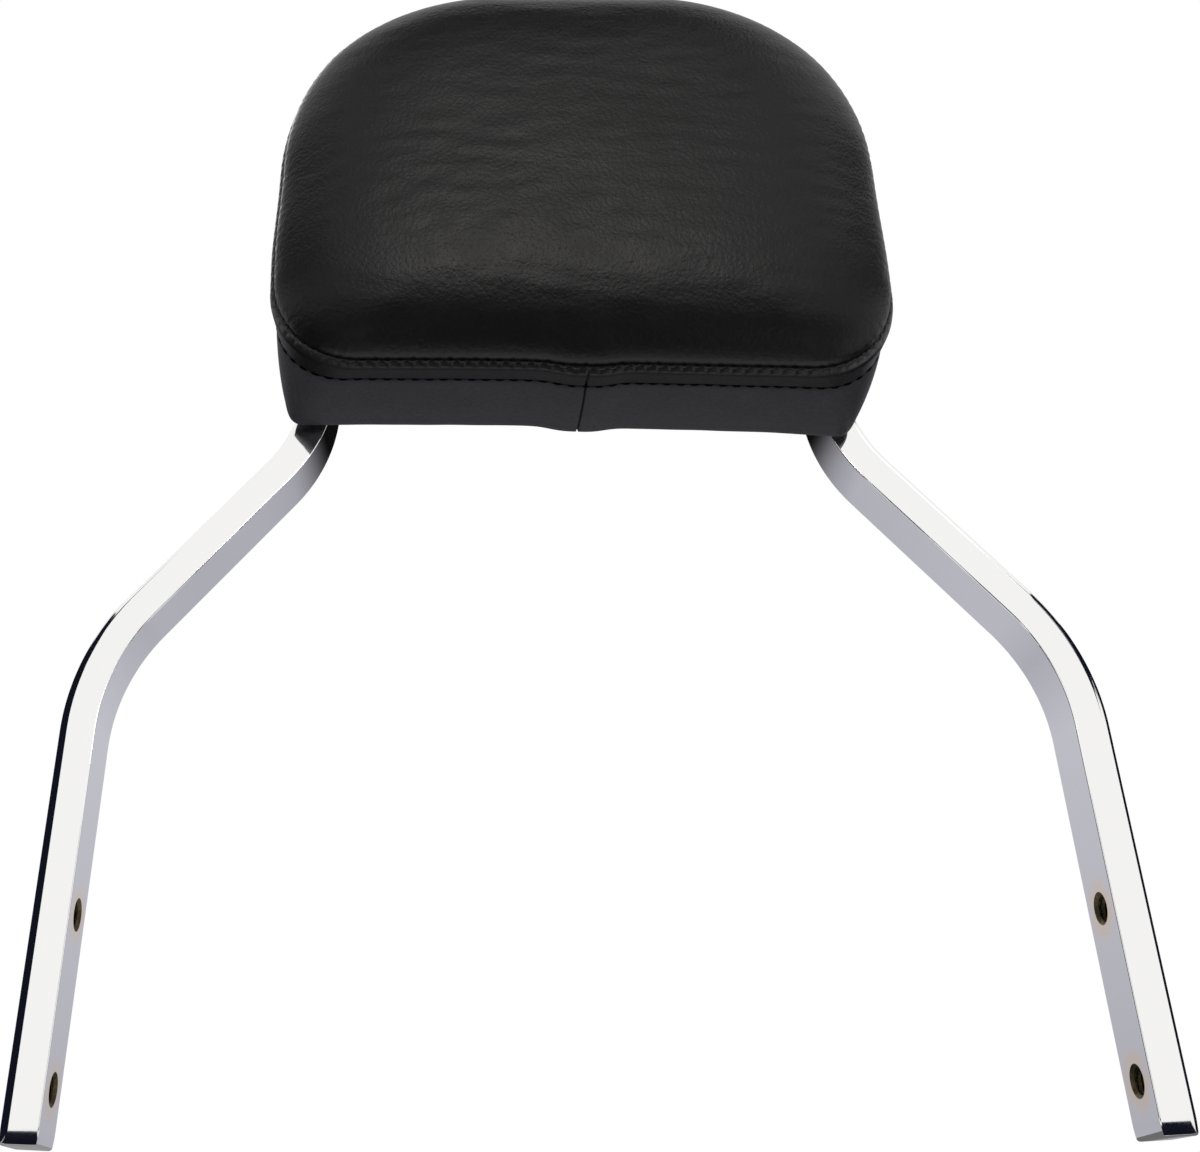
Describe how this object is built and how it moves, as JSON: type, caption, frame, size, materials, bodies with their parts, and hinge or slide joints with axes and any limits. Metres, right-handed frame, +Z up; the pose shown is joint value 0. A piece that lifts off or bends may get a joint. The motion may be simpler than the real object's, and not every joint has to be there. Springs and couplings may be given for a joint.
{
  "type": "motorcycle backrest",
  "caption": "Low motorcycle backrest: a bent chromed flat-bar hoop with tapped feet carries a D-shaped stitched pad on a cross plate.",
  "frame": {"origin": "midway between the mouths of the two lower bolt holes, in the middle of the bar's depth", "axes": "+X across the machine, +Y to the rear away from the pad's face, +Z up along the hoop"},
  "size_m": [0.293, 0.0676, 0.3231],
  "materials": {
    "chrome": "bright chrome plate",
    "cover": "black grained vinyl, semi-matt",
    "back_plastic": "fine texture",
    "plywood": "raw",
    "foam": "open-cell foam",
    "zinc_steel": "zinc plate"
  },
  "bodies": {
    "root": {"hoop": "chrome", "cross_plate": "chrome", "weld_beads": "chrome", "back_panel": "back_plastic", "base_board": "plywood", "foam_core": "foam", "cover_boxing": "cover", "cover_front": "cover", "t_nuts": "zinc_steel", "pad_screws": "zinc_steel", "flat_washers": "zinc_steel", "spring_washers": "zinc_steel", "staples": "zinc_steel"}
  },
  "joints": []
}
